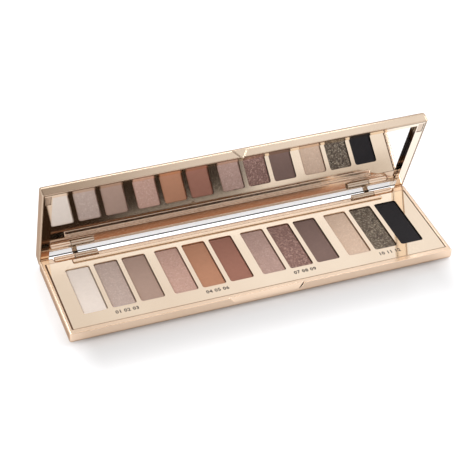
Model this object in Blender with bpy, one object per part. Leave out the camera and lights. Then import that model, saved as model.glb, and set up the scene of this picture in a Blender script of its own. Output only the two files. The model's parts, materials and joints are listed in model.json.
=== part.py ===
"""Slim eyeshadow palette: a hinged, metallised case with a mirror and twelve powder pans.

Metres, +Z up. The origin is the centre of the base's underside, +X runs along the row of pans
and +Y points to the hinge. The lid stands open at REST_ANGLE from its closed position.
"""

import math

import bmesh
import bpy
from mathutils import Vector

MM = 0.001

# Case
HALF_WIDTH = 115.0 * MM
HALF_DEPTH = 33.75 * MM
BASE_HEIGHT = 7.2 * MM
FRONT_RADIUS = 3.0 * MM
SMALL_RADIUS = 1.0 * MM
END_BEVEL = 0.9 * MM
FLOOR = 1.2 * MM
GAP = 0.3 * MM

# Hinge: two barrels on the lid, each pinned from its outer end to a fixed block on the base
AXIS_SETBACK = 1.2 * MM
AXIS_Y = HALF_DEPTH - AXIS_SETBACK
AXIS_Z = BASE_HEIGHT - 1.4 * MM
REST_ANGLE = math.radians(70.0)
REAR_RADIUS = 1.4 * MM
KNUCKLE_IN = 80.3 * MM
KNUCKLE_OUT = 94.0 * MM
KNUCKLE_RADIUS = 2.05 * MM
ARM_IN = 90.9 * MM
ARM_WIDTH = 2.8 * MM
ARM_RADIUS = 2.0 * MM
ARM_REAR = 4.05 * MM
BLOCK_OUT = 106.2 * MM
BLOCK_RADIUS = 2.0 * MM
BLOCK_SUNK = 0.5 * MM
BLOCK_WALL = 2.0 * MM
NOTCH_FRONT = 2.4 * MM
NOTCH_FLOOR = 1.6 * MM
PIN_RADIUS = 0.75 * MM
BLOCK_BORE = 0.82 * MM
KNUCKLE_BORE = 0.86 * MM

# Gutter behind the deck, with a raised rib along its front edge
RIB_HALF = 96.6 * MM
RIB_REAR = 27.55 * MM
RIB_HEIGHT = 0.9 * MM
STEP_REAR = 28.65 * MM
STEP_DROP = 0.2 * MM
GUTTER_HALF = 107.0 * MM
GUTTER_RADIUS = 3.0 * MM
GUTTER_DROP = 1.9 * MM

# Deck plate and its openings
DECK_HALF_WIDTH = 112.5 * MM
DECK_FRONT = -30.05 * MM
DECK_REAR = 25.0 * MM
EAR_REAR = 28.6 * MM
EAR_IN = 97.0 * MM
DECK_THICKNESS = 1.0 * MM
LEDGE_DROP = 1.3 * MM
TRIO_PITCH = 53.0 * MM
PAN_PITCH = 16.63 * MM
PAN_ROW_Y = 0.55 * MM
OPENING_WIDTH = 14.03 * MM
OPENING_LENGTH = 40.6 * MM
OPENING_RADIUS = 1.4 * MM
TRIOS = 4
PANS_PER_TRIO = 3

# Pan bed, pans and powders
CAVITY_HALF_WIDTH = 110.9 * MM
CAVITY_FRONT = -28.6 * MM
CAVITY_REAR = 23.4 * MM
BED_HEIGHT = 4.2 * MM
WELL_FLOOR = 0.6 * MM
WELL_CLEARANCE = 0.75 * MM
PAN_OVERSIZE = 0.5 * MM
PAN_HEIGHT = 3.5 * MM
PAN_WALL = 0.35 * MM
POWDER_FIT = 0.15 * MM
POWDER_SHOULDER = 0.45 * MM
POWDER_RISE = 0.6 * MM
POWDER_CROWN = 0.08 * MM

# Lid, in its closed position relative to the hinge axis
LID_FRONT = -66.75 * MM
LID_REAR = 4.1 * MM
LID_RIM = 1.55 * MM
LID_TOP = 8.85 * MM
LID_WALL = 1.1 * MM
LID_PANEL = 1.9 * MM
BEZEL_FIT = 0.2 * MM
MIRROR_LEVEL = 4.45 * MM
MIRROR_THICKNESS = 1.3 * MM
MIRROR_OVERLAP = 0.8 * MM
MIRROR_REAR = 2.45 * MM
WINDOW_HALF_WIDTH = 109.0 * MM
WINDOW_FRONT = LID_FRONT + 4.0 * MM
BEZEL_REAR = 3.9 * MM
TAPE_THICKNESS = 0.6 * MM
TAPE_MARGIN = 6.0 * MM

# Closure
LID_MAGNET_SIZE = Vector((3.1, 7.4, 1.5)) * MM
LID_MAGNET_X = 111.45 * MM
LID_MAGNET_Y = LID_FRONT + 6.4 * MM
BASE_MAGNET_SIZE = Vector((3.0, 7.4, 1.5)) * MM
BASE_MAGNET_X = 110.7 * MM
BASE_MAGNET_Y = -26.0 * MM
MAGNET_FIT = 0.25 * MM
RECESS_TOP_HALF = 23.0 * MM
RECESS_FOOT_HALF = 19.4 * MM
RECESS_HEIGHT = 3.4 * MM
RECESS_DEPTH = 0.9 * MM
TAB_HALF = 4.4 * MM
TAB_TIP_HALF = 0.5 * MM
TAB_PROUD = 0.45 * MM
TAB_DROP = 1.0 * MM
TAB_ROOT = 5.2 * MM

ARC_STEPS = 6
CORNER_STEPS = 4
ROUND_STEPS = 24

POWDERS = (
    ("cream", (0.78, 0.69, 0.63), 0.75),
    ("rose_taupe_shimmer", (0.49, 0.38, 0.33), 0.45),
    ("taupe_matte", (0.41, 0.28, 0.23), 0.85),
    ("rose_shimmer", (0.55, 0.35, 0.28), 0.45),
    ("terracotta_matte", (0.47, 0.24, 0.14), 0.85),
    ("brick_matte", (0.34, 0.16, 0.11), 0.85),
    ("mauve_shimmer", (0.46, 0.31, 0.26), 0.45),
    ("plum_glitter", (0.28, 0.15, 0.13), 0.50),
    ("plum_matte", (0.21, 0.14, 0.12), 0.85),
    ("sand_shimmer", (0.66, 0.48, 0.37), 0.45),
    ("olive_glitter", (0.17, 0.12, 0.09), 0.45),
    ("black_matte", (0.033, 0.027, 0.029), 0.80),
)


def clear_scene():
    for obj in list(bpy.data.objects):
        bpy.data.objects.remove(obj, do_unlink=True)


def make_material(name, colour, roughness, metallic):
    material = bpy.data.materials.new(name)
    material.use_nodes = True
    shader = material.node_tree.nodes["Principled BSDF"]
    shader.inputs["Base Color"].default_value = (*colour, 1.0)
    shader.inputs["Roughness"].default_value = roughness
    shader.inputs["Metallic"].default_value = metallic
    return material


def arc(centre, radius, start, end, steps):
    """Points of an arc in a plane, angles in degrees."""
    points = []
    for i in range(steps + 1):
        angle = math.radians(start + (end - start) * i / steps)
        points.append((centre[0] + radius * math.cos(angle), centre[1] + radius * math.sin(angle)))
    return points


def rounded_outline(x0, x1, y0, y1, radius):
    points = arc((x1 - radius, y1 - radius), radius, 0, 90, CORNER_STEPS)
    points += arc((x0 + radius, y1 - radius), radius, 90, 180, CORNER_STEPS)
    points += arc((x0 + radius, y0 + radius), radius, 180, 270, CORNER_STEPS)
    points += arc((x1 - radius, y0 + radius), radius, 270, 360, CORNER_STEPS)
    return points


def new_object(name, mesh, material=None, parent=None):
    obj = bpy.data.objects.new(name, mesh)
    bpy.context.collection.objects.link(obj)
    if material:
        mesh.materials.append(material)
    if parent:
        obj.parent = parent
    return obj


def finish_mesh(bm, name):
    bmesh.ops.recalc_face_normals(bm, faces=bm.faces)
    mesh = bpy.data.meshes.new(name)
    bm.to_mesh(mesh)
    bm.free()
    mesh.shade_smooth()
    mesh.set_sharp_from_angle(angle=math.radians(35))
    return mesh


def prism_along_z(name, outline, z0, z1):
    """A flat outline in X and Y, extruded upwards."""
    bm = bmesh.new()
    face = bm.faces.new([bm.verts.new((x, y, z0)) for x, y in outline])
    top = bmesh.ops.extrude_face_region(bm, geom=[face])
    verts = [v for v in top["geom"] if isinstance(v, bmesh.types.BMVert)]
    bmesh.ops.translate(bm, verts=verts, vec=(0, 0, z1 - z0))
    return finish_mesh(bm, name)


def prism_along_x(name, profile, x0, x1, end_bevel=0.0):
    """A side profile in Y and Z, extruded along X, with its end edges rounded if asked."""
    bm = bmesh.new()
    face = bm.faces.new([bm.verts.new((x0, y, z)) for y, z in profile])
    far = bmesh.ops.extrude_face_region(bm, geom=[face])
    verts = [v for v in far["geom"] if isinstance(v, bmesh.types.BMVert)]
    bmesh.ops.translate(bm, verts=verts, vec=(x1 - x0, 0, 0))
    if end_bevel:
        bmesh.ops.recalc_face_normals(bm, faces=bm.faces)
        ends = [e for e in bm.edges if abs(e.verts[0].co.x - e.verts[1].co.x) < 1e-7]
        bmesh.ops.bevel(bm, geom=ends, offset=end_bevel, segments=3, profile=0.5, affect="EDGES",
                        clamp_overlap=True)
    return finish_mesh(bm, name)


def box(name, x0, x1, y0, y1, z0, z1):
    return prism_along_z(name, [(x0, y0), (x1, y0), (x1, y1), (x0, y1)], z0, z1)


def disc_profile(radius, centre=(0.0, 0.0)):
    return arc(centre, radius, 0, 360, ROUND_STEPS)[:-1]


def combine(obj, mesh, operation, parent=None):
    """Cut a mesh out of an object, or join it on; the tool object stays hidden."""
    tool = new_object(f"tool_{mesh.name}", mesh, parent=parent)
    tool.hide_render = True
    tool.display_type = "WIRE"
    modifier = obj.modifiers.new(mesh.name, "BOOLEAN")
    modifier.operation = operation
    modifier.solver = "EXACT"
    modifier.object = tool


def cut(obj, mesh, parent=None):
    combine(obj, mesh, "DIFFERENCE", parent)


def join(obj, mesh, parent=None):
    combine(obj, mesh, "UNION", parent)


def pan_centres():
    """X of each pan, from left to right: trios at their own pitch, pans closer together."""
    centres = []
    for trio in range(TRIOS):
        for place in range(PANS_PER_TRIO):
            trio_x = (trio - (TRIOS - 1) / 2) * TRIO_PITCH
            centres.append(trio_x + (place - (PANS_PER_TRIO - 1) / 2) * PAN_PITCH)
    return centres


def pan_outline(x, margin, radius):
    """Rounded rectangle about one pan; a positive margin makes it smaller than the opening."""
    half_width = OPENING_WIDTH / 2 - margin
    half_length = OPENING_LENGTH / 2 - margin
    return rounded_outline(x - half_width, x + half_width, PAN_ROW_Y - half_length,
                           PAN_ROW_Y + half_length, radius)


def base_profile():
    """Side profile of the base: a round front edge, and a rear edge rounded about the hinge."""
    front = -HALF_DEPTH
    points = arc((front + FRONT_RADIUS, FRONT_RADIUS), FRONT_RADIUS, 270, 180, ARC_STEPS)
    points.append((front, BASE_HEIGHT))
    points += arc((HALF_DEPTH - REAR_RADIUS, BASE_HEIGHT - REAR_RADIUS), REAR_RADIUS, 90, 0,
                  CORNER_STEPS)
    points.append((HALF_DEPTH, 0.0))
    return points


def block_profile():
    """Half-round about the hinge axis, down into the gutter's floor."""
    foot = BASE_HEIGHT - GUTTER_DROP - BLOCK_SUNK
    points = arc((AXIS_Y, AXIS_Z), BLOCK_RADIUS, -20, 180, ROUND_STEPS // 2)
    points.append((AXIS_Y - BLOCK_RADIUS, foot))
    points.append((HALF_DEPTH - BLOCK_SUNK, foot))
    return points


def make_base_shell(material):
    body = prism_along_x("base_shell", base_profile(), -HALF_WIDTH, HALF_WIDTH, END_BEVEL)
    shell = new_object("base_shell", body, material)
    seat = prism_along_z("deck_seat", deck_outline(GAP), BASE_HEIGHT - LEDGE_DROP,
                         BASE_HEIGHT + MM)
    cut(shell, seat)
    cavity = box("base_cavity", -CAVITY_HALF_WIDTH, CAVITY_HALF_WIDTH, CAVITY_FRONT, CAVITY_REAR,
                 FLOOR, BASE_HEIGHT)
    cut(shell, cavity)
    cut_gutter(shell)
    cut(shell, thumb_recess())
    for side in (-1, 1):
        add_hinge_block(shell, side)
        cut(shell, magnet_pocket("ledge_pocket", side))
    return shell


def cut_gutter(shell):
    """Step and gutter behind the deck, open to the rear, with a raised rib in front of them."""
    top = BASE_HEIGHT + 3 * MM
    cut(shell, box("gutter_step", -RIB_HALF, RIB_HALF, RIB_REAR, STEP_REAR + MM,
                   BASE_HEIGHT - STEP_DROP, top))
    outline = [(GUTTER_HALF, HALF_DEPTH + MM), (-GUTTER_HALF, HALF_DEPTH + MM)]
    outline += arc((GUTTER_RADIUS - GUTTER_HALF, STEP_REAR + GUTTER_RADIUS), GUTTER_RADIUS, 180,
                   270, ARC_STEPS)
    outline += arc((GUTTER_HALF - GUTTER_RADIUS, STEP_REAR + GUTTER_RADIUS), GUTTER_RADIUS, 270,
                   360, ARC_STEPS)
    cut(shell, prism_along_z("gutter", outline, BASE_HEIGHT - GUTTER_DROP, top))
    join(shell, box("rib", -RIB_HALF, RIB_HALF, DECK_REAR + GAP, RIB_REAR,
                    BASE_HEIGHT - LEDGE_DROP - MM, BASE_HEIGHT + RIB_HEIGHT))


def add_hinge_block(shell, side):
    """Open notch for one barrel, with a bored fixed block at its outer end."""
    x0, x1 = sorted((side * (KNUCKLE_IN - GAP), side * (KNUCKLE_OUT + GAP)))
    cut(shell, box(f"notch_{side}", x0, x1, AXIS_Y - NOTCH_FRONT, HALF_DEPTH + MM, NOTCH_FLOOR,
                   BASE_HEIGHT + MM))
    x0, x1 = sorted((side * (KNUCKLE_OUT + GAP), side * BLOCK_OUT))
    join(shell, prism_along_x(f"block_{side}", block_profile(), x0, x1, 0.4 * MM))
    x0, x1 = sorted((side * KNUCKLE_IN, side * (BLOCK_OUT - BLOCK_WALL)))
    cut(shell, prism_along_x(f"block_bore_{side}", disc_profile(BLOCK_BORE, (AXIS_Y, AXIS_Z)),
                             x0, x1))


def magnet_pocket(name, side):
    """Room for one base magnet, open upwards to the deck plate."""
    x = side * BASE_MAGNET_X
    half = BASE_MAGNET_SIZE / 2
    top = FLOOR + GAP + BED_HEIGHT
    return box(f"{name}_{side}", x - half.x - MAGNET_FIT, x + half.x + MAGNET_FIT,
               BASE_MAGNET_Y - half.y - MAGNET_FIT, BASE_MAGNET_Y + half.y + MAGNET_FIT,
               top - BASE_MAGNET_SIZE.z - MAGNET_FIT, BASE_HEIGHT)


def thumb_recess():
    """Shallow wedge in the front edge where a thumb lifts the lid: deep and wide at the rim."""
    foot = BASE_HEIGHT - RECESS_HEIGHT
    slope = RECESS_DEPTH / RECESS_HEIGHT
    widen = (RECESS_TOP_HALF - RECESS_FOOT_HALF) / RECESS_HEIGHT
    over = 0.5 * MM
    front = -HALF_DEPTH
    half_top = RECESS_TOP_HALF + widen * over
    deep = front + RECESS_DEPTH + slope * over
    top = BASE_HEIGHT + over
    bm = bmesh.new()
    corners = [(-half_top, front - MM, top), (half_top, front - MM, top), (half_top, deep, top),
               (-half_top, deep, top), (-RECESS_FOOT_HALF, front - MM, foot),
               (RECESS_FOOT_HALF, front - MM, foot), (RECESS_FOOT_HALF, front, foot),
               (-RECESS_FOOT_HALF, front, foot)]
    verts = [bm.verts.new(corner) for corner in corners]
    bm.faces.new(verts[:4])
    bm.faces.new(verts[4:])
    for i in range(4):
        after = (i + 1) % 4
        bm.faces.new([verts[i], verts[after], verts[after + 4], verts[i + 4]])
    return finish_mesh(bm, "thumb_recess")


def deck_outline(margin):
    """The deck plate with its rear corners carried back beside the gutter, grown by a margin."""
    half = DECK_HALF_WIDTH + margin
    ear_in = EAR_IN - margin
    rear = DECK_REAR + margin
    ear_rear = EAR_REAR + margin
    front = DECK_FRONT - margin
    corner = SMALL_RADIUS
    points = arc((half - corner, ear_rear - corner), corner, 0, 90, CORNER_STEPS)
    points += [(ear_in, ear_rear), (ear_in, rear), (-ear_in, rear), (-ear_in, ear_rear)]
    points += arc((corner - half, ear_rear - corner), corner, 90, 180, CORNER_STEPS)
    points += arc((corner - half, front + corner), corner, 180, 270, CORNER_STEPS)
    points += arc((half - corner, front + corner), corner, 270, 360, CORNER_STEPS)
    return points


def make_deck_plate(material):
    plate_mesh = prism_along_z("deck_plate", deck_outline(0.0), BASE_HEIGHT - DECK_THICKNESS,
                               BASE_HEIGHT)
    plate = new_object("deck_plate", plate_mesh, material)
    for number, x in enumerate(pan_centres(), start=1):
        opening = prism_along_z(f"opening_{number:02d}", pan_outline(x, 0.0, OPENING_RADIUS),
                                BASE_HEIGHT - 3 * MM, BASE_HEIGHT + MM)
        cut(plate, opening)
    return plate


def make_pan_bed(material):
    bottom = FLOOR + GAP
    body = box("pan_bed", -CAVITY_HALF_WIDTH + GAP, CAVITY_HALF_WIDTH - GAP, CAVITY_FRONT + GAP,
               CAVITY_REAR - GAP, bottom, bottom + BED_HEIGHT)
    bed = new_object("pan_bed", body, material)
    for number, x in enumerate(pan_centres(), start=1):
        well = prism_along_z(f"well_{number:02d}", pan_outline(x, -WELL_CLEARANCE, OPENING_RADIUS),
                             bottom + WELL_FLOOR, BASE_HEIGHT)
        cut(bed, well)
    for side in (-1, 1):
        cut(bed, magnet_pocket("bed_pocket", side))
    return bed


def make_pan(number, x, material):
    """A thin tray, slightly larger than its opening so the deck plate hides its rim."""
    bottom = FLOOR + WELL_FLOOR + 2 * GAP
    name = f"pan_{number:02d}"
    outline = pan_outline(x, -PAN_OVERSIZE, OPENING_RADIUS + PAN_WALL)
    pan = new_object(name, prism_along_z(name, outline, bottom, bottom + PAN_HEIGHT), material)
    hollow = prism_along_z(f"pan_hollow_{number:02d}",
                           pan_outline(x, PAN_WALL - PAN_OVERSIZE, OPENING_RADIUS),
                           bottom + PAN_WALL, bottom + PAN_HEIGHT + MM)
    cut(pan, hollow)
    return pan


def raise_cap(bm, cap, inset, rise):
    """Inset a top face and lift it, leaving a sloped shoulder round it."""
    bmesh.ops.inset_region(bm, faces=cap, thickness=inset)
    verts = {v for f in cap for v in f.verts}
    bmesh.ops.translate(bm, verts=list(verts), vec=(0, 0, rise))


def make_powder(number, x, material):
    """A pressed cake: it fills its pan, and its crowned top stands in the opening."""
    pan_floor = FLOOR + WELL_FLOOR + 2 * GAP
    bottom = pan_floor + PAN_WALL + POWDER_FIT
    rim = pan_floor + PAN_HEIGHT - POWDER_FIT
    outline = pan_outline(x, POWDER_FIT + PAN_WALL - PAN_OVERSIZE, OPENING_RADIUS)
    bm = bmesh.new()
    face = bm.faces.new([bm.verts.new((px, py, bottom)) for px, py in outline])
    side = bmesh.ops.extrude_face_region(bm, geom=[face])
    verts = [v for v in side["geom"] if isinstance(v, bmesh.types.BMVert)]
    bmesh.ops.translate(bm, verts=verts, vec=(0, 0, rim - bottom))
    cap = [f for f in side["geom"] if isinstance(f, bmesh.types.BMFace)]
    bmesh.ops.recalc_face_normals(bm, faces=bm.faces)
    raise_cap(bm, cap, POWDER_SHOULDER, POWDER_RISE)
    raise_cap(bm, cap, 0.25 * MM, POWDER_CROWN)
    name = f"powder_{number:02d}"
    return new_object(name, finish_mesh(bm, name), material)


def make_hinge_pin(name, side, material):
    x0, x1 = sorted((side * (KNUCKLE_IN + GAP), side * (BLOCK_OUT - BLOCK_WALL - GAP)))
    mesh = prism_along_x(name, disc_profile(PIN_RADIUS, (AXIS_Y, AXIS_Z)), x0, x1)
    return new_object(name, mesh, material)


def magnet_mesh(name, x, y, z_low, size):
    return box(name, x - size.x / 2, x + size.x / 2, y - size.y / 2, y + size.y / 2, z_low,
               z_low + size.z)


def lid_profile():
    """Side profile of the closed lid about the hinge axis."""
    points = [(LID_FRONT, LID_RIM)]
    points += arc((LID_FRONT + FRONT_RADIUS, LID_TOP - FRONT_RADIUS), FRONT_RADIUS, 180, 90,
                  ARC_STEPS)
    points += arc((LID_REAR - SMALL_RADIUS, LID_TOP - SMALL_RADIUS), SMALL_RADIUS, 90, 0,
                  CORNER_STEPS)
    points.append((LID_REAR, LID_RIM))
    return points


def arm_profile():
    """Strap from the barrel round behind the mirror's edge to the lid's panel."""
    inner = MIRROR_REAR + 0.35 * MM
    root = LID_TOP - LID_PANEL / 2
    points = arc((0.0, 0.0), ARM_RADIUS, 90, 315, ROUND_STEPS // 2)
    points += [(ARM_REAR, LID_RIM), (ARM_REAR, root), (inner, root), (inner, KNUCKLE_RADIUS)]
    return points


def thumb_tab():
    """Raised V on the front wall whose tip reaches past the rim."""
    bm = bmesh.new()
    front = LID_FRONT - TAB_PROUD
    inner = LID_FRONT + 0.4 * MM
    root = LID_RIM + TAB_ROOT
    tip = LID_RIM - TAB_DROP
    outline = [(-TAB_HALF, root), (TAB_HALF, root), (TAB_TIP_HALF, tip), (-TAB_TIP_HALF, tip)]
    face = bm.faces.new([bm.verts.new((x, front, z)) for x, z in outline])
    back = bmesh.ops.extrude_face_region(bm, geom=[face])
    verts = [v for v in back["geom"] if isinstance(v, bmesh.types.BMVert)]
    bmesh.ops.translate(bm, verts=verts, vec=(0, inner - front, 0))
    return finish_mesh(bm, "thumb_tab")


def make_lid_shell(hinge, material):
    """Panel with front and side walls, open at the rear, hung from two pinned barrels."""
    body = prism_along_x("lid_shell", lid_profile(), -HALF_WIDTH, HALF_WIDTH, END_BEVEL)
    shell = new_object("lid_shell", body, material, hinge)
    inner_half = HALF_WIDTH - LID_WALL
    cavity = box("lid_cavity", -inner_half, inner_half, LID_FRONT + LID_WALL, LID_REAR + MM,
                 LID_RIM - MM, LID_TOP - LID_PANEL)
    cut(shell, cavity, hinge)
    for side in (-1, 1):
        x0, x1 = sorted((side * KNUCKLE_IN, side * KNUCKLE_OUT))
        arm0, arm1 = sorted((side * ARM_IN, side * (ARM_IN + ARM_WIDTH)))
        join(shell, prism_along_x(f"arm_{side}", arm_profile(), arm0, arm1), hinge)
        join(shell, prism_along_x(f"barrel_{side}", disc_profile(KNUCKLE_RADIUS), x0, x1), hinge)
        cut(shell, prism_along_x(f"barrel_bore_{side}", disc_profile(KNUCKLE_BORE), x0 - MM,
                                 x1 + MM), hinge)
    join(shell, thumb_tab(), hinge)
    return shell


def make_mirror_frame(hinge, material):
    """Flat bezel on three sides of the mirror, flush with the lid's rim, holding the magnets."""
    outer_half = HALF_WIDTH - LID_WALL - BEZEL_FIT
    low = LID_RIM + 0.1 * MM
    high = MIRROR_LEVEL - GAP
    body = box("mirror_frame", -outer_half, outer_half, LID_FRONT + LID_WALL + BEZEL_FIT,
               BEZEL_REAR, low, high)
    frame = new_object("mirror_frame", body, material, hinge)
    window = box("mirror_window", -WINDOW_HALF_WIDTH, WINDOW_HALF_WIDTH, WINDOW_FRONT,
                 BEZEL_REAR + MM, low - MM, high + MM)
    cut(frame, window, hinge)
    for side in (-1, 1):
        half = LID_MAGNET_SIZE / 2
        x = side * LID_MAGNET_X
        pocket = box(f"frame_pocket_{side}", x - half.x - MAGNET_FIT, x + half.x + MAGNET_FIT,
                     LID_MAGNET_Y - half.y - MAGNET_FIT, LID_MAGNET_Y + half.y + MAGNET_FIT,
                     low - MM, low + LID_MAGNET_SIZE.z + 2 * MAGNET_FIT)
        cut(frame, pocket, hinge)
    return frame


def make_mirror(hinge, material):
    half = WINDOW_HALF_WIDTH + MIRROR_OVERLAP
    mesh = box("mirror", -half, half, WINDOW_FRONT - MIRROR_OVERLAP, MIRROR_REAR, MIRROR_LEVEL,
               MIRROR_LEVEL + MIRROR_THICKNESS)
    return new_object("mirror", mesh, material, hinge)


def make_mirror_tape(hinge, material):
    half = WINDOW_HALF_WIDTH - TAPE_MARGIN
    low = MIRROR_LEVEL + MIRROR_THICKNESS + GAP
    outline = rounded_outline(-half, half, WINDOW_FRONT + TAPE_MARGIN, MIRROR_REAR - TAPE_MARGIN,
                              2 * MM)
    mesh = prism_along_z("mirror_tape", outline, low, low + TAPE_THICKNESS)
    return new_object("mirror_tape", mesh, material, hinge)


def make_base(shell_material):
    steel = make_material("steel", (0.62, 0.61, 0.60), 0.30, 1.0)
    tinplate = make_material("tinplate", (0.72, 0.72, 0.72), 0.35, 1.0)
    make_base_shell(shell_material)
    make_deck_plate(make_material("deck_gold", (0.86, 0.72, 0.58), 0.18, 1.0))
    make_pan_bed(make_material("bed_plastic", (0.05, 0.05, 0.05), 0.55, 0.0))
    for number, x in enumerate(pan_centres(), start=1):
        make_pan(number, x, tinplate)
        finish, colour, roughness = POWDERS[number - 1]
        make_powder(number, x, make_material(finish, colour, roughness, 0.0))
    magnet_low = FLOOR + GAP + BED_HEIGHT - BASE_MAGNET_SIZE.z
    for side, hand in ((-1, "left"), (1, "right")):
        make_hinge_pin(f"hinge_pin_{hand}", side, steel)
        name = f"base_magnet_{hand}"
        mesh = magnet_mesh(name, side * BASE_MAGNET_X, BASE_MAGNET_Y, magnet_low, BASE_MAGNET_SIZE)
        new_object(name, mesh, steel)


def make_lid(shell_material):
    hinge = new_object("lid_hinge_axis", None)
    hinge.location = (0.0, AXIS_Y, AXIS_Z)
    hinge.rotation_euler = (-REST_ANGLE, 0.0, 0.0)
    make_lid_shell(hinge, shell_material)
    make_mirror_frame(hinge, make_material("bezel_gold", (0.84, 0.66, 0.50), 0.22, 1.0))
    make_mirror(hinge, make_material("mirror_silver", (0.92, 0.93, 0.93), 0.02, 1.0))
    make_mirror_tape(hinge, make_material("foam_tape", (0.75, 0.75, 0.73), 0.9, 0.0))
    magnet_steel = make_material("magnet_nickel", (0.55, 0.53, 0.50), 0.28, 1.0)
    magnet_low = LID_RIM + 0.1 * MM + MAGNET_FIT
    for side, hand in ((-1, "left"), (1, "right")):
        name = f"lid_magnet_{hand}"
        mesh = magnet_mesh(name, side * LID_MAGNET_X, LID_MAGNET_Y, magnet_low, LID_MAGNET_SIZE)
        new_object(name, mesh, magnet_steel, hinge)


def build():
    clear_scene()
    case_gold = make_material("case_gold", (0.83, 0.66, 0.52), 0.24, 1.0)
    make_base(case_gold)
    make_lid(case_gold)


build()
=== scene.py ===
import json
import math

import bmesh
import bpy
from mathutils import Matrix, Vector


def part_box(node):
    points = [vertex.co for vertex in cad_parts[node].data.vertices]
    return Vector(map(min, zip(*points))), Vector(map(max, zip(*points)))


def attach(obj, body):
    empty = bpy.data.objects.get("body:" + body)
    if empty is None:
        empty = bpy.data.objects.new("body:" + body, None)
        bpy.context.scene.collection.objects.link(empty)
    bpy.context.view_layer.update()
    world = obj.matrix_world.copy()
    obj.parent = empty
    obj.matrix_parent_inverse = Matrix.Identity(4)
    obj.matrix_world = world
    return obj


# Looks of the eyeshadow palette: materials, fine details, studio and camera.
# Metres, in the frame's own axes: +X along the row of pans, +Y to the hinge, +Z up.

MM = 0.001
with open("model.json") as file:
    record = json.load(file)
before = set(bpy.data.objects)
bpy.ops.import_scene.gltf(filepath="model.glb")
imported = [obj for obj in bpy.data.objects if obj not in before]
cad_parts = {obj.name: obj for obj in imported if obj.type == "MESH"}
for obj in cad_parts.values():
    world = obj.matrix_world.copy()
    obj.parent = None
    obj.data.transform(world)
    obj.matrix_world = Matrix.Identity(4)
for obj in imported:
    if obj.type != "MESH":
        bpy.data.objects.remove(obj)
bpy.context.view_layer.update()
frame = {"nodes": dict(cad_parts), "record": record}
nodes = frame["nodes"]

BASE_LOW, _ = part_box("base_shell")
DECK_LOW, DECK_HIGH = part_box("deck_plate")
DECK_TOP = DECK_HIGH[2]
HINGE = Vector(frame["record"]["behaviour"]["joints"][0]["pos_m"])
REST_ANGLE = math.radians(70.0)
PAN_NUMBERS = range(1, 13)

# Lid, in its closed position relative to the hinge axis
MIRROR_LEVEL = 4.45 * MM
MIRROR_REAR = 2.45 * MM
MIRROR_HALF = 109.0 * MM
LID_FRONT = -66.75 * MM
LID_RIM = 1.55 * MM

# Material detail: noise scales per metre, so 26 gives patches of about 40 mm
TONE_SCALE = 26.0
RIPPLE_SCALE = 45.0
HAZE_SCALE = 900.0
MOTTLE_SCALE = 500.0
GRAIN_SCALE = 2400.0
POWDER_TONE_SCALE = 420.0
POWDER_GRAIN_SCALE = 2600.0
FLAKE_SCALE = 1900.0
FLAKE_SHADE = 0.8
POWDER_RELIEF = 0.12 * MM
EDGE_ROUNDING = 0.7 * MM
CASE_ROUGHNESS = 0.12
CASE_EDGE = (0.50, 0.40, 0.33)


# ---------------------------------------------------------------- shader helpers
def new_material(name):
    material = bpy.data.materials.new(name)
    material.use_nodes = True
    tree = material.node_tree
    return material, tree, tree.nodes["Principled BSDF"]


def add(tree, kind, **values):
    node = tree.nodes.new(kind)
    for key, value in values.items():
        setattr(node, key, value)
    return node


def coords(tree):
    """Object coordinates in metres."""
    source = add(tree, "ShaderNodeTexCoord")
    return source.outputs["Object"]


def noise(tree, vector, scale, detail=3.0, roughness=0.5):
    node = add(tree, "ShaderNodeTexNoise")
    node.inputs["Scale"].default_value = scale
    node.inputs["Detail"].default_value = detail
    node.inputs["Roughness"].default_value = roughness
    tree.links.new(vector, node.inputs["Vector"])
    return node.outputs["Fac"]


def ramp(tree, value, low, high, stops=(0.3, 0.7)):
    """A colour ramp between two linear colours."""
    node = add(tree, "ShaderNodeValToRGB")
    for element, stop, colour in zip(node.color_ramp.elements, stops, (low, high)):
        element.position = stop
        element.color = (*colour, 1.0)
    tree.links.new(value, node.inputs["Fac"])
    return node.outputs["Color"]


def span(tree, value, low, high, from_low=0.3, from_high=0.7):
    """Remaps a value to a range."""
    node = add(tree, "ShaderNodeMapRange")
    node.inputs["From Min"].default_value = from_low
    node.inputs["From Max"].default_value = from_high
    node.inputs["To Min"].default_value = low
    node.inputs["To Max"].default_value = high
    tree.links.new(value, node.inputs["Value"])
    return node.outputs["Result"]


def soft_step(tree, value, start, end):
    """0 at start and 1 at end, with a smooth rise between; start may be the larger."""
    node = add(tree, "ShaderNodeMapRange", interpolation_type="SMOOTHSTEP")
    node.inputs["From Min"].default_value = start
    node.inputs["From Max"].default_value = end
    tree.links.new(value, node.inputs["Value"])
    return node.outputs["Result"]


def compute(tree, operation, *values):
    """A maths node; each value may be a socket or a number."""
    node = add(tree, "ShaderNodeMath", operation=operation)
    for index, value in enumerate(values):
        if isinstance(value, float):
            node.inputs[index].default_value = value
        else:
            tree.links.new(value, node.inputs[index])
    return node.outputs["Value"]


def blend(tree, factor, first, second):
    """Mix of two colours; each may be a socket or a linear colour."""
    node = add(tree, "ShaderNodeMix", data_type="RGBA")
    tree.links.new(factor, node.inputs[0])
    for index, colour in ((6, first), (7, second)):
        if isinstance(colour, tuple):
            node.inputs[index].default_value = (*colour, 1.0)
        else:
            tree.links.new(colour, node.inputs[index])
    return node.outputs[2]


def light_curve(tree, value, stops):
    """Light level against a value from 0 to 1, warmer where it is dim; stops are
    (position, level)."""
    node = add(tree, "ShaderNodeValToRGB")
    elements = node.color_ramp.elements
    while len(elements) < len(stops):
        elements.new(0.5)
    for element, (position, level) in zip(elements, stops):
        element.position = position
        element.color = (level, level ** 1.15, level ** 1.3, 1.0)
    tree.links.new(value, node.inputs["Fac"])
    return node.outputs["Color"]


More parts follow.
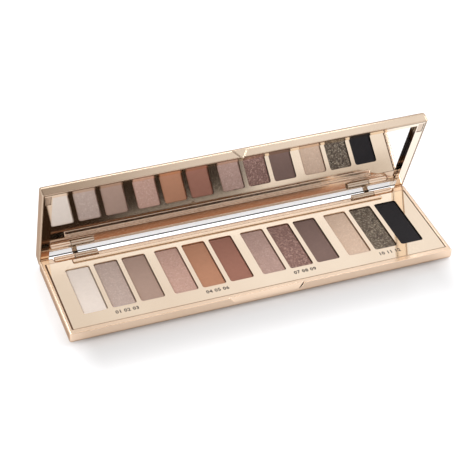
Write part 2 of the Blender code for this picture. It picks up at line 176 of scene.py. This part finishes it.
def bump(tree, shader, height, strength, distance, rounding=0.0):
    """Surface relief; a rounding radius softens the edges of the piece as well."""
    node = add(tree, "ShaderNodeBump")
    node.inputs["Strength"].default_value = strength
    node.inputs["Distance"].default_value = distance
    tree.links.new(height, node.inputs["Height"])
    if rounding:
        edges = add(tree, "ShaderNodeBevel", samples=6)
        edges.inputs["Radius"].default_value = rounding
        tree.links.new(edges.outputs["Normal"], node.inputs["Normal"])
    tree.links.new(node.outputs["Normal"], shader.inputs["Normal"])


# ---------------------------------------------------------------- kinds of material
def metallised(name, low, high, roughness, ripple=0.01 * MM, edge=(1.0, 1.0, 1.0), rounding=0.0):
    """Vacuum-metallised plastic: a bright coat with slow ripples and a fine haze.

    The edge colour is what the coat turns to where it is seen at a slant.
    """
    material, tree, shader = new_material(name)
    shader.inputs["Metallic"].default_value = 1.0
    shader.inputs["Specular Tint"].default_value = (*edge, 1.0)
    vector = coords(tree)
    tone = noise(tree, vector, TONE_SCALE, 3.0, 0.55)
    tree.links.new(ramp(tree, tone, low, high), shader.inputs["Base Color"])
    haze = noise(tree, vector, HAZE_SCALE, 4.0, 0.6)
    tree.links.new(span(tree, haze, roughness * 0.8, roughness * 1.25), shader.inputs["Roughness"])
    wave = noise(tree, vector, RIPPLE_SCALE, 2.0, 0.4)
    bump(tree, shader, wave, 0.2, ripple, rounding)
    return material


def plain(name, low, high, roughness, grain=0.1 * MM):
    """Dull plastic or print: mottled tone and a fine grain."""
    material, tree, shader = new_material(name)
    vector = coords(tree)
    tone = noise(tree, vector, MOTTLE_SCALE, 4.0, 0.6)
    tree.links.new(ramp(tree, tone, low, high), shader.inputs["Base Color"])
    tree.links.new(span(tree, tone, roughness * 0.85, roughness * 1.1), shader.inputs["Roughness"])
    shader.inputs["Specular IOR Level"].default_value = 0.15
    bump(tree, shader, noise(tree, vector, GRAIN_SCALE), 0.3, grain)
    return material


def glitter(tree, vector, base, amount, light, dark):
    """Lays light and dark flakes over a base colour; amount is the share of each kind. The flakes are
    the powder's shimmer; the light ones are painted glints.
    """
    flakes = add(tree, "ShaderNodeTexVoronoi")
    flakes.inputs["Scale"].default_value = FLAKE_SCALE
    tree.links.new(vector, flakes.inputs["Vector"])
    pick = add(tree, "ShaderNodeSeparateColor")
    tree.links.new(flakes.outputs["Color"], pick.inputs["Color"])
    start, end = 1.0 - amount, 1.0 - amount * 0.3
    lit = span(tree, pick.outputs["Red"], 0.0, 1.0, start, end)
    base = blend(tree, lit, base, light)
    shade = span(tree, pick.outputs["Green"], 0.0, FLAKE_SHADE, start, end)
    return blend(tree, shade, base, dark)


def powder(name, colour, spread, roughness, grain, sparkle=None):
    """Pressed powder: mottled tone, fine grain and, where asked, glittering flakes with painted
    glints.
    """
    material, tree, shader = new_material(name)
    vector = coords(tree)
    tone = noise(tree, vector, POWDER_TONE_SCALE, 6.0, 0.7)
    low = tuple(c * (1.0 - spread) for c in colour)
    high = tuple(min(1.0, c * (1.0 + spread)) for c in colour)
    base = ramp(tree, tone, low, high)
    fine = noise(tree, vector, POWDER_GRAIN_SCALE, 4.0, 0.7)
    tree.links.new(span(tree, fine, roughness * 0.9, min(1.0, roughness * 1.15)),
                   shader.inputs["Roughness"])
    bump(tree, shader, fine, grain, POWDER_RELIEF)
    if sparkle:
        base = glitter(tree, vector, base, *sparkle)
    tree.links.new(base, shader.inputs["Base Color"])
    shader.inputs["Specular IOR Level"].default_value = 0.3
    return material


def dress(material, *names):
    """Puts one material on the named CAD nodes."""
    for name in names:
        for slot in nodes[name].material_slots:
            slot.material = material


# ---------------------------------------------------------------- geometry helpers
def new_piece(name, bm, material, body):
    """Turns a mesh into an object that rides on a body; a body of None leaves it free."""
    bmesh.ops.recalc_face_normals(bm, faces=bm.faces)
    mesh = bpy.data.meshes.new(name)
    bm.to_mesh(mesh)
    bm.free()
    mesh.materials.append(material)
    mesh.shade_smooth()
    mesh.set_sharp_from_angle(angle=math.radians(35))
    obj = bpy.data.objects.new(name, mesh)
    bpy.context.collection.objects.link(obj)
    if body:
        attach(obj, body)
    return obj


def slab(bm, outline, low, high, place=lambda x, y, z: (x, y, z)):
    """Adds a closed slab to a mesh: an outline between two levels, mapped by place()."""
    bottom = [bm.verts.new(place(x, y, low)) for x, y in outline]
    top = [bm.verts.new(place(x, y, high)) for x, y in outline]
    bm.faces.new(bottom[::-1])
    bm.faces.new(top)
    for i in range(len(outline)):
        j = (i + 1) % len(outline)
        bm.faces.new((bottom[i], bottom[j], top[j], top[i]))


def rectangle(x0, x1, y0, y1):
    return [(x0, y0), (x1, y0), (x1, y1), (x0, y1)]


def opened(x, y, z):
    """Closed-lid coordinates about the hinge axis, swung to the lid's rest position."""
    cos, sin = math.cos(REST_ANGLE), math.sin(REST_ANGLE)
    return (x, HINGE.y + y * cos + z * sin, HINGE.z - y * sin + z * cos)


# ---------------------------------------------------------------- materials of the CAD nodes
# colour, spread, roughness, grain, sparkle (amount, light flake, dark flake); the light flakes are
# painted glints
SHADES = [
    ((0.80, 0.71, 0.64), 0.03, 0.8, 0.3, None),
    ((0.50, 0.385, 0.335), 0.06, 0.5, 0.5, (0.2, (0.58, 0.47, 0.42), (0.43, 0.33, 0.29))),
    ((0.42, 0.29, 0.235), 0.04, 0.85, 0.3, None),
    ((0.56, 0.35, 0.285), 0.06, 0.5, 0.5, (0.2, (0.65, 0.44, 0.37), (0.48, 0.29, 0.23))),
    ((0.49, 0.24, 0.145), 0.04, 0.85, 0.3, None),
    ((0.35, 0.16, 0.115), 0.04, 0.85, 0.3, None),
    ((0.47, 0.31, 0.265), 0.07, 0.5, 0.5, (0.25, (0.57, 0.40, 0.35), (0.38, 0.25, 0.21))),
    ((0.27, 0.15, 0.125), 0.14, 0.5, 0.6, (0.35, (0.50, 0.32, 0.27), (0.15, 0.08, 0.07))),
    ((0.215, 0.14, 0.12), 0.05, 0.85, 0.3, None),
    ((0.67, 0.49, 0.37), 0.05, 0.45, 0.5, (0.2, (0.75, 0.58, 0.46), (0.59, 0.43, 0.33))),
    ((0.115, 0.082, 0.06), 0.22, 0.5, 0.7, (0.45, (0.36, 0.30, 0.22), (0.03, 0.023, 0.017))),
    ((0.012, 0.010, 0.012), 0.1, 0.8, 0.4, None),
]


def dress_case():
    # The base and lid share one gold coat: the base's copy is made lighter, painted light, and the
    # lid's darker, painted shade
    dress(metallised("base_gold_painted_light_look", (0.85, 0.65, 0.49), (0.89, 0.69, 0.53), CASE_ROUGHNESS,
                     edge=CASE_EDGE, rounding=EDGE_ROUNDING), "base_shell")
    dress(metallised("lid_gold_painted_shade_look", (0.60, 0.475, 0.365), (0.64, 0.515, 0.405), CASE_ROUGHNESS,
                     edge=CASE_EDGE, rounding=EDGE_ROUNDING), "lid_shell")
    dress(metallised("deck_gold_look", (0.86, 0.70, 0.545), (0.89, 0.74, 0.585), 0.055),
          "deck_plate")
    dress(metallised("bezel_gold_look", (0.92, 0.80, 0.67), (0.94, 0.83, 0.71), 0.05),
          "mirror_frame")


def dress_fittings():
    """Mirror, pins, magnets, pan bed and tape."""
    dress(metallised("mirror_look", (0.925, 0.93, 0.94), (0.94, 0.945, 0.95), 0.012,
                     ripple=0.0001 * MM), "mirror")
    dress(metallised("steel_look", (0.50, 0.49, 0.48), (0.60, 0.59, 0.58), 0.25),
          "hinge_pin_left", "hinge_pin_right", "base_magnet_left", "base_magnet_right")
    dress(metallised("magnet_face_look", (0.62, 0.50, 0.40), (0.70, 0.57, 0.46), 0.2),
          "lid_magnet_left", "lid_magnet_right")
    dress(plain("bed_look", (0.035, 0.032, 0.03), (0.05, 0.046, 0.043), 0.55), "pan_bed")
    dress(plain("tape_look", (0.70, 0.70, 0.68), (0.78, 0.78, 0.76), 0.9), "mirror_tape")


def dress_pans():
    tin = metallised("tinplate_look", (0.60, 0.60, 0.60), (0.70, 0.70, 0.70), 0.3)
    for number, shade in zip(PAN_NUMBERS, SHADES):
        dress(tin, f"pan_{number:02d}")
        dress(powder(f"shade_{number:02d}_look", *shade), f"powder_{number:02d}")


dress_case()
dress_fittings()
dress_pans()

shadow_line = plain("shadow_line_look", (0.035, 0.028, 0.022), (0.06, 0.048, 0.038), 0.5)
# Painted shadow for the seam gap around the deck plate: brown at the sides, tan along the front
painted_seam_shadow_brown = plain("painted_seam_shadow_brown_look", (0.10, 0.05, 0.025), (0.15, 0.08, 0.042), 0.5)
painted_seam_shadow_tan = plain("painted_seam_shadow_tan_look", (0.40, 0.27, 0.17), (0.48, 0.33, 0.22), 0.5)
print_ink = plain("print_ink_look", (0.05, 0.045, 0.04), (0.09, 0.08, 0.07), 0.6)

# ---------------------------------------------------------------- base details
CAPTIONS = (("01 02 03", 2), ("04 05 06", 5), ("07 08 09", 8), ("10 11 12", 11))
CAPTION_SIZE = 2.45 * 1.45 * MM
CAPTION_SPACING = 1.08
CAPTION_BOLDNESS = 0.09 * MM
CAPTION_Y = DECK_LOW[1] + 4.95 * MM
INK_HALF_THICKNESS = 0.01 * MM
INK_LIFT = 0.025 * MM

# Painted shadow lines in the seam gap around the deck plate
SEAM_WIDTH = 0.3 * MM
SEAM_TOP = DECK_TOP + 0.01 * MM
SEAM_FOOT = DECK_TOP - 0.6 * MM
LEFT_SEAM = 0.9 * MM
RIGHT_SEAM = 0.7 * MM
SEAM_CORNER = 0.05 * MM
FRONT_SEAM_LAP = 0.02 * MM

RECESS_TOP = DECK_TOP - 0.05 * MM
RECESS_FOOT = DECK_TOP - 3.4 * MM
RECESS_END_LOW = 19.4 * MM
RECESS_END_HIGH = 23.0 * MM
RECESS_LAP = 0.05 * MM
SHADE_WIDTH = 0.55 * MM
SHADE_FACE = BASE_LOW[1] + 0.01 * MM
SHADE_BACK = BASE_LOW[1] + 0.12 * MM


def numerals(name, text):
    """Flat mesh of a short text, centred on its origin's X."""
    curve = bpy.data.curves.new(f"{name}_curve", "FONT")
    curve.body = text
    curve.size = CAPTION_SIZE
    curve.space_character = CAPTION_SPACING
    curve.offset = CAPTION_BOLDNESS
    curve.align_x = "CENTER"
    curve.extrude = INK_HALF_THICKNESS
    curve.resolution_u = 3
    holder = bpy.data.objects.new(f"{name}_curve", curve)
    bpy.context.collection.objects.link(holder)
    graph = bpy.context.evaluated_depsgraph_get()
    mesh = bpy.data.meshes.new_from_object(holder.evaluated_get(graph))
    bpy.data.objects.remove(holder)
    return mesh


def add_captions():
    """Printed numerals under each trio, centred on its middle pan."""
    for number, (text, middle_pan) in enumerate(CAPTIONS, start=1):
        name = f"caption_{number}"
        low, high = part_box(f"powder_{middle_pan:02d}")
        centre = ((low[0] + high[0]) / 2, CAPTION_Y, DECK_TOP + INK_LIFT)
        mesh = numerals(name, text)
        mesh.transform(Matrix.Translation(centre))
        mesh.materials.clear()
        mesh.materials.append(print_ink)
        caption = bpy.data.objects.new(name, mesh)
        bpy.context.collection.objects.link(caption)
        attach(caption, "base")


def add_seams():
    """Painted shadow lines in the seam between the deck plate and the shell, on the three open sides:
    dark strips that stand for the shade in the gap, the side ones lapping onto the deck's edges.
    """
    left, right = DECK_LOW[0] - SEAM_WIDTH, DECK_HIGH[0] + SEAM_WIDTH
    front, rear = DECK_LOW[1] - SEAM_WIDTH, DECK_HIGH[1]
    bm = bmesh.new()
    slab(bm, rectangle(left + LEFT_SEAM + SEAM_CORNER, right - RIGHT_SEAM - SEAM_CORNER,
                       front, DECK_LOW[1] + FRONT_SEAM_LAP), SEAM_FOOT, SEAM_TOP)
    new_piece("front_seam_shadow", bm, painted_seam_shadow_tan, "base")
    bm = bmesh.new()
    slab(bm, rectangle(left, left + LEFT_SEAM, front, rear), SEAM_FOOT, SEAM_TOP)
    slab(bm, rectangle(right - RIGHT_SEAM, right, front, rear), SEAM_FOOT, SEAM_TOP)
    new_piece("side_seam_shadows", bm, painted_seam_shadow_brown, "base")


def add_recess_shade():
    """Slanted shadow at the right end of the thumb recess."""
    outline = [(RECESS_END_LOW - SHADE_WIDTH, RECESS_FOOT), (RECESS_END_LOW + RECESS_LAP, RECESS_FOOT),
               (RECESS_END_HIGH + RECESS_LAP, RECESS_TOP), (RECESS_END_HIGH - SHADE_WIDTH, RECESS_TOP)]
    bm = bmesh.new()
    slab(bm, outline, SHADE_FACE, SHADE_BACK, lambda x, z, y: (x, y, z))
    new_piece("recess_shade", bm, shadow_line, "base")


add_captions()
add_seams()
add_recess_shade()

# ---------------------------------------------------------------- lid details
GROUND_EDGE = 0.9 * MM
BEZEL_GAP_HALF = 113.6 * MM
BEZEL_GAP_FRONT = LID_FRONT + 1.08 * MM
BEZEL_GAP_REAR = LID_FRONT + 1.36 * MM


def add_mirror_edge():
    """Dark ground edge along the mirror's rear side."""
    bm = bmesh.new()
    slab(bm, rectangle(-MIRROR_HALF, MIRROR_HALF, MIRROR_REAR - GROUND_EDGE, MIRROR_REAR + 0.05 * MM),
         MIRROR_LEVEL - 0.12 * MM, MIRROR_LEVEL + 1.2 * MM, opened)
    new_piece("mirror_edge", bm, shadow_line, "lid")


def add_bezel_gap():
    """Shadow gap between the lid's front wall and the bezel."""
    bm = bmesh.new()
    slab(bm, rectangle(-BEZEL_GAP_HALF, BEZEL_GAP_HALF, BEZEL_GAP_FRONT, BEZEL_GAP_REAR),
         LID_RIM + 0.02 * MM, LID_RIM + 0.6 * MM, opened)
    new_piece("bezel_gap", bm, shadow_line, "lid")


add_mirror_edge()
add_bezel_gap()

# ---------------------------------------------------------------- stage
# Even floor emission, then a painted contact shadow along the front of the case and painted light in a
# strip behind it
FLOOR_GLOW = 0.44
PAINTED_CONTACT_SHADOW = -0.36
PAINTED_REAR_LIGHT = 0.25
FLOOR_HALF = 6.0
FLOOR_DROP = 0.2 * MM


def floor_material():
    """Pale, slightly glossy sheet on a light table that gives off light evenly from below.

    Painted shade and light: the emission is lowered in a band along the front of the case, a painted
    contact shadow, and raised in a strip close behind the case, painted light on floor that the case
    shades.
    """
    material, tree, shader = new_material("floor_look")
    vector = coords(tree)
    tone = noise(tree, vector, 4.0, 3.0, 0.5)
    tree.links.new(ramp(tree, tone, (0.60, 0.60, 0.605), (0.63, 0.63, 0.635)),
                   shader.inputs["Base Color"])
    shader.inputs["Roughness"].default_value = 0.18
    shader.inputs["Specular IOR Level"].default_value = 0.35
    shader.inputs["Emission Color"].default_value = (0.95, 0.97, 1.0, 1.0)
    parts = add(tree, "ShaderNodeSeparateXYZ")
    tree.links.new(vector, parts.inputs["Vector"])
    x, y = parts.outputs["X"], parts.outputs["Y"]
    # Masks of the painted marks, no wider than the case: a band in front of it for the painted contact
    # shadow, a strip behind it for the painted light
    beside = soft_step(tree, compute(tree, "ABSOLUTE", x), 0.122, 0.100)
    painted_shadow_band = compute(tree, "MULTIPLY", soft_step(tree, y, -0.085, -0.040),
                    soft_step(tree, y, -0.012, -0.030))
    behind = compute(tree, "MULTIPLY", soft_step(tree, y, 0.030, 0.036),
                     soft_step(tree, y, 0.070, 0.050))
    # Painted contact shadow in front of the case, then painted light in the strip behind it, both
    # added to the even emission
    shade = compute(tree, "MULTIPLY", compute(tree, "MULTIPLY", painted_shadow_band, beside), PAINTED_CONTACT_SHADOW)
    painted_rear_light = compute(tree, "MULTIPLY", compute(tree, "MULTIPLY", behind, beside), PAINTED_REAR_LIGHT)
    total = compute(tree, "ADD", compute(tree, "ADD", shade, painted_rear_light), FLOOR_GLOW)
    tree.links.new(total, shader.inputs["Emission Strength"])
    return material


def add_floor():
    bm = bmesh.new()
    bmesh.ops.create_grid(bm, x_segments=1, y_segments=1, size=FLOOR_HALF)
    floor = new_piece("floor", bm, floor_material(), None)
    floor.location.z = BASE_LOW[2] - FLOOR_DROP


add_floor()

# ---------------------------------------------------------------- light
# Light levels of the room by the X of the direction: dark on the left, panels on the right
PANELS_FRONT_FAR = ((0.0, 0.03), (0.288, 0.02), (0.305, 0.95), (0.6, 1.0))
PANELS_FRONT_NEAR = ((0.0, 0.03), (0.20, 0.03), (0.215, 0.7), (0.31, 0.75), (0.34, 0.5),
                     (0.37, 0.6), (0.40, 0.9))
PANELS_REAR = ((0.14, 0.3), (0.173, 0.55), (0.195, 0.58), (0.21, 0.64), (0.246, 0.92),
               (0.294, 1.05), (0.342, 1.2), (0.40, 1.1))
WALLS = ((0.0, 0.80), (0.17, 0.80), (0.29, 0.96), (1.0, 0.96))
UPPER_WALLS = (0.88, 0.88, 0.88)
WARM_PANEL = (0.38, 0.19, 0.11)
ROOM_STRENGTH = 1.15


def add_room():
    """The studio seen from the object: white walls, and a dark ceiling with light panels."""
    world = bpy.data.worlds.new("studio")
    bpy.context.scene.world = world
    world.use_nodes = True
    sky = world.node_tree
    direction = add(sky, "ShaderNodeTexCoord")
    axes = add(sky, "ShaderNodeSeparateXYZ")
    sky.links.new(direction.outputs["Generated"], axes.inputs["Vector"])
    across, along, up = (axes.outputs[key] for key in "XYZ")
    front = blend(sky, soft_step(sky, along, -0.198, -0.190),
                  light_curve(sky, across, PANELS_FRONT_FAR),
                  light_curve(sky, across, PANELS_FRONT_NEAR))
    ceiling = blend(sky, soft_step(sky, along, -0.08, 0.0), front,
                    light_curve(sky, across, PANELS_REAR))
    ceiling = blend(sky, soft_step(sky, along, -0.40, -0.33), WARM_PANEL, ceiling)
    walls = blend(sky, soft_step(sky, up, 0.15, 0.35), light_curve(sky, across, WALLS), UPPER_WALLS)
    studio = blend(sky, soft_step(sky, up, 0.76, 0.82), walls, ceiling)
    background = sky.nodes["Background"]
    sky.links.new(studio, background.inputs["Color"])
    background.inputs["Strength"].default_value = ROOM_STRENGTH


def softbox(name, centre, size, power):
    """Rectangular lamp that faces the palette."""
    light = bpy.data.lights.new(name, "AREA")
    light.shape = "RECTANGLE"
    light.size, light.size_y = size
    light.energy = power
    obj = bpy.data.objects.new(name, light)
    bpy.context.collection.objects.link(obj)
    obj.location = centre
    obj.rotation_euler = (-Vector(centre)).to_track_quat("-Z", "Y").to_euler()


add_room()
softbox("rear_softbox", (0.1, 1.0, 1.25), (1.2, 0.5), 5.5)
softbox("right_softbox", (1.05, 0.05, 1.0), (0.6, 0.6), 7.0)
softbox("left_softbox", (-1.1, 0.0, 1.0), (0.6, 0.6), 4.0)

# ---------------------------------------------------------------- camera
CAMERA_PLACE = (-0.25543, -0.65425, 0.57033)
CAMERA_RIGHT = Vector((0.93948, -0.34223, 0.01608))
CAMERA_DOWN = Vector((-0.19883, -0.58286, -0.78787))
CAMERA_FORWARD = Vector((0.27901, 0.73699, -0.61563))
LENS = 119.195
SENSOR = 36.0


def add_camera():
    data = bpy.data.cameras.new("camera")
    data.lens = LENS
    data.sensor_width = SENSOR
    data.clip_start = 0.01
    camera = bpy.data.objects.new("camera", data)
    bpy.context.collection.objects.link(camera)
    turn = Matrix((CAMERA_RIGHT, -CAMERA_DOWN, -CAMERA_FORWARD)).transposed()
    camera.matrix_world = Matrix.Translation(CAMERA_PLACE) @ turn.to_4x4()
    bpy.context.scene.camera = camera


add_camera()
view = bpy.context.scene.view_settings
view.view_transform = "Standard"
view.look = "None"
